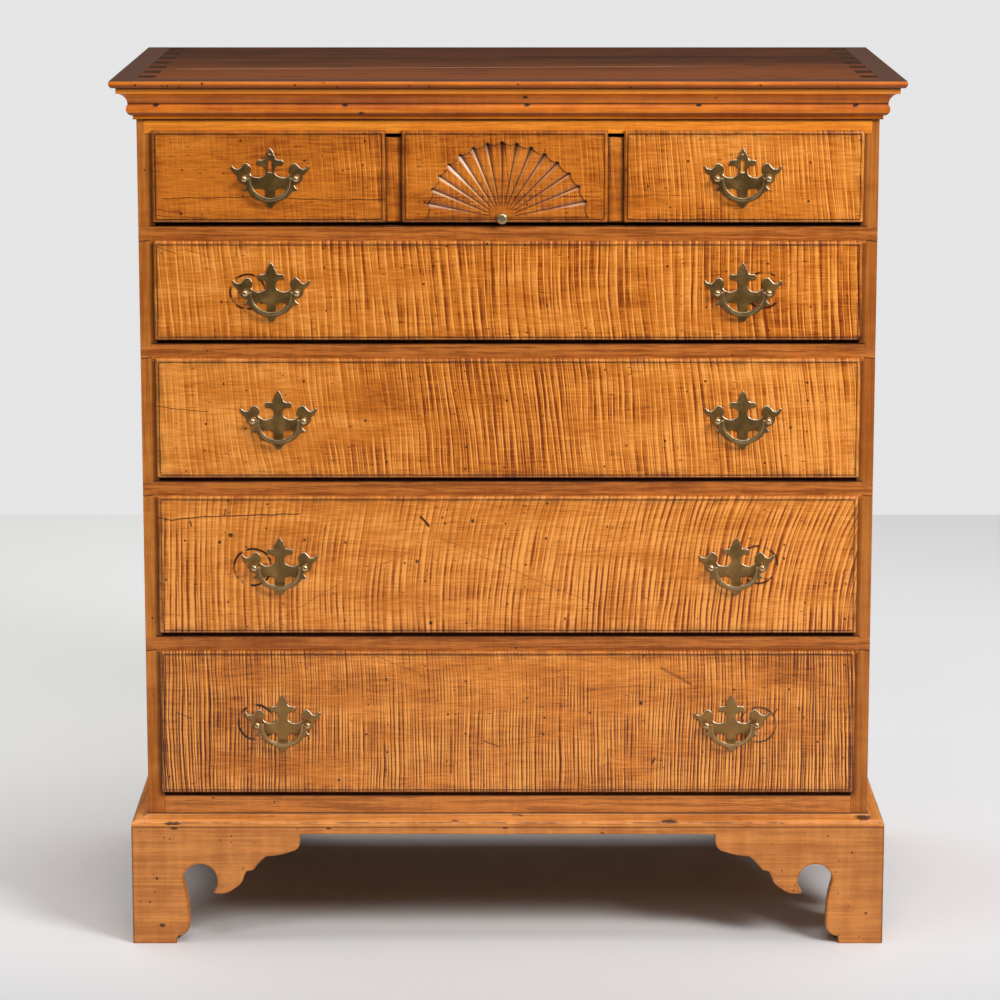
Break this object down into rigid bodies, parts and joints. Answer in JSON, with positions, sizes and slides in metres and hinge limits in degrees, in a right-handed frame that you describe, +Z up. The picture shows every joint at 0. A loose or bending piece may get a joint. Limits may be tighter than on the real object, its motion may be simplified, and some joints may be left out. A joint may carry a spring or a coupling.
{
  "type": "chest of drawers",
  "caption": "Flat-front tall chest with graduated lipped drawers, fan-carved top drawer, moulded cornice, scroll-cut bracket base and brass bail handles.",
  "frame": {"origin": "on the floor under the middle of the chest's overall box", "axes": "+X to the viewer's right, +Z up, the drawers open towards -Y"},
  "size_m": [0.976, 0.551, 1.098],
  "materials": {
    "curly_maple": "figured, old varnish",
    "maple": "plain figure, old varnish",
    "dark_maple": "darkened, worn satin",
    "pine": "bare, aged",
    "aged_brass": "tarnished"
  },
  "bodies": {
    "case": {"back_boards": "pine", "base_front": "maple", "base_left": "maple", "base_moulding": "maple", "base_right": "maple", "bottom_rail": "maple", "case_bottom": "pine", "case_top": "dark_maple", "cornice": "maple", "drawer_divider_1": "maple", "drawer_divider_2": "maple", "drawer_divider_3": "maple", "drawer_divider_4": "maple", "drawer_runners": "pine", "foot_glue_blocks": "pine", "left_case_side": "maple", "rear_foot_brackets": "pine", "right_case_side": "maple", "top_rail": "maple"},
    "drawer_1": {"drawer_1_back": "pine", "drawer_1_bottom": "pine", "drawer_1_fan_knob": "aged_brass", "drawer_1_front": "curly_maple", "drawer_1_plates": "aged_brass", "drawer_1_posts": "aged_brass", "drawer_1_sides": "pine"},
    "drawer_1_bail_left": {"drawer_1_bail_left": "aged_brass"},
    "drawer_1_bail_right": {"drawer_1_bail_right": "aged_brass"},
    "drawer_2": {"drawer_2_back": "pine", "drawer_2_bottom": "pine", "drawer_2_front": "curly_maple", "drawer_2_plates": "aged_brass", "drawer_2_posts": "aged_brass", "drawer_2_sides": "pine"},
    "drawer_2_bail_left": {"drawer_2_bail_left": "aged_brass"},
    "drawer_2_bail_right": {"drawer_2_bail_right": "aged_brass"},
    "drawer_3": {"drawer_3_back": "pine", "drawer_3_bottom": "pine", "drawer_3_front": "curly_maple", "drawer_3_plates": "aged_brass", "drawer_3_posts": "aged_brass", "drawer_3_sides": "pine"},
    "drawer_3_bail_left": {"drawer_3_bail_left": "aged_brass"},
    "drawer_3_bail_right": {"drawer_3_bail_right": "aged_brass"},
    "drawer_4": {"drawer_4_back": "pine", "drawer_4_bottom": "pine", "drawer_4_front": "curly_maple", "drawer_4_plates": "aged_brass", "drawer_4_posts": "aged_brass", "drawer_4_sides": "pine"},
    "drawer_4_bail_left": {"drawer_4_bail_left": "aged_brass"},
    "drawer_4_bail_right": {"drawer_4_bail_right": "aged_brass"},
    "drawer_5": {"drawer_5_back": "pine", "drawer_5_bottom": "pine", "drawer_5_front": "curly_maple", "drawer_5_plates": "aged_brass", "drawer_5_posts": "aged_brass", "drawer_5_sides": "pine"},
    "drawer_5_bail_left": {"drawer_5_bail_left": "aged_brass"},
    "drawer_5_bail_right": {"drawer_5_bail_right": "aged_brass"}
  },
  "joints": [
    {"name": "drawer_1_slide", "type": "slide", "parent": "case", "child": "drawer_1", "axis": [0, -1, 0], "range_m": [0, 0.4]},
    {"name": "drawer_1_bail_left_swing", "type": "hinge", "parent": "drawer_1", "child": "drawer_1_bail_left", "pos_m": [-0.2925, -0.2639, 0.97745], "axis": [-1, 0, 0], "range_deg": [-14, 165]},
    {"name": "drawer_1_bail_right_swing", "type": "hinge", "parent": "drawer_1", "child": "drawer_1_bail_right", "pos_m": [0.289, -0.2639, 0.97745], "axis": [-1, 0, 0], "range_deg": [-14, 165]},
    {"name": "drawer_2_slide", "type": "slide", "parent": "case", "child": "drawer_2", "axis": [0, -1, 0], "range_m": [0, 0.4]},
    {"name": "drawer_2_bail_left_swing", "type": "hinge", "parent": "drawer_2", "child": "drawer_2_bail_left", "pos_m": [-0.2928, -0.2639, 0.8357], "axis": [-1, 0, 0], "range_deg": [-14, 165]},
    {"name": "drawer_2_bail_right_swing", "type": "hinge", "parent": "drawer_2", "child": "drawer_2_bail_right", "pos_m": [0.2908, -0.2639, 0.8357], "axis": [-1, 0, 0], "range_deg": [-14, 165]},
    {"name": "drawer_3_slide", "type": "slide", "parent": "case", "child": "drawer_3", "axis": [0, -1, 0], "range_m": [0, 0.4]},
    {"name": "drawer_3_bail_left_swing", "type": "hinge", "parent": "drawer_3", "child": "drawer_3_bail_left", "pos_m": [-0.2856, -0.2639, 0.67535], "axis": [-1, 0, 0], "range_deg": [-14, 165]},
    {"name": "drawer_3_bail_right_swing", "type": "hinge", "parent": "drawer_3", "child": "drawer_3_bail_right", "pos_m": [0.2927, -0.2639, 0.67535], "axis": [-1, 0, 0], "range_deg": [-14, 165]},
    {"name": "drawer_4_slide", "type": "slide", "parent": "case", "child": "drawer_4", "axis": [0, -1, 0], "range_m": [0, 0.4]},
    {"name": "drawer_4_bail_left_swing", "type": "hinge", "parent": "drawer_4", "child": "drawer_4_bail_left", "pos_m": [-0.2858, -0.2639, 0.48895], "axis": [-1, 0, 0], "range_deg": [-14, 165]},
    {"name": "drawer_4_bail_right_swing", "type": "hinge", "parent": "drawer_4", "child": "drawer_4_bail_right", "pos_m": [0.2866, -0.2639, 0.48895], "axis": [-1, 0, 0], "range_deg": [-14, 165]},
    {"name": "drawer_5_slide", "type": "slide", "parent": "case", "child": "drawer_5", "axis": [0, -1, 0], "range_m": [0, 0.4]},
    {"name": "drawer_5_bail_left_swing", "type": "hinge", "parent": "drawer_5", "child": "drawer_5_bail_left", "pos_m": [-0.2843, -0.2639, 0.28585], "axis": [-1, 0, 0], "range_deg": [-14, 165]},
    {"name": "drawer_5_bail_right_swing", "type": "hinge", "parent": "drawer_5", "child": "drawer_5_bail_right", "pos_m": [0.2826, -0.2639, 0.28585], "axis": [-1, 0, 0], "range_deg": [-14, 165]}
  ]
}
